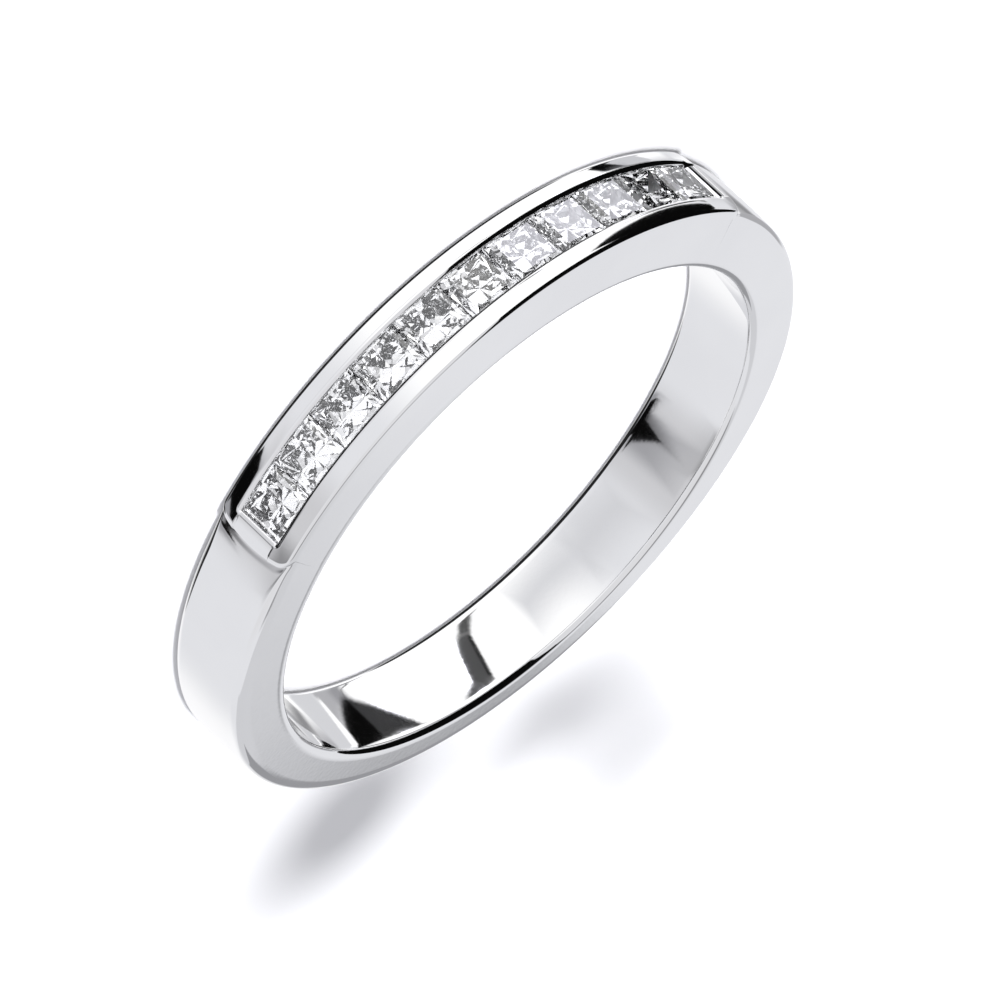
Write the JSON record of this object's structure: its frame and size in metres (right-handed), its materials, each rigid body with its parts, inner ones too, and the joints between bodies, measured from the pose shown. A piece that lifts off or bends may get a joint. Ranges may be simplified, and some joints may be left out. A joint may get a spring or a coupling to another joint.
{
  "type": "half eternity ring",
  "caption": "Tapered platinum finger ring whose slightly raised head holds a row of square princess cut diamonds, channel set between two plain rails.",
  "frame": {"origin": "centre of the finger hole, half way through the band's width", "axes": "+Z along the finger hole and up from the side face that the ring lies on, -Y towards the middle of the head with the stones"},
  "size_m": [0.02, 0.0196, 0.0026],
  "materials": {
    "platinum": "mirror polished 950 platinum",
    "diamond": "cut and polished, colourless"
  },
  "bodies": {
    "root": {"band": "platinum", "stone_01": "diamond", "stone_02": "diamond", "stone_03": "diamond", "stone_04": "diamond", "stone_05": "diamond", "stone_06": "diamond", "stone_07": "diamond", "stone_08": "diamond", "stone_09": "diamond", "stone_10": "diamond", "stone_11": "diamond"}
  },
  "joints": []
}
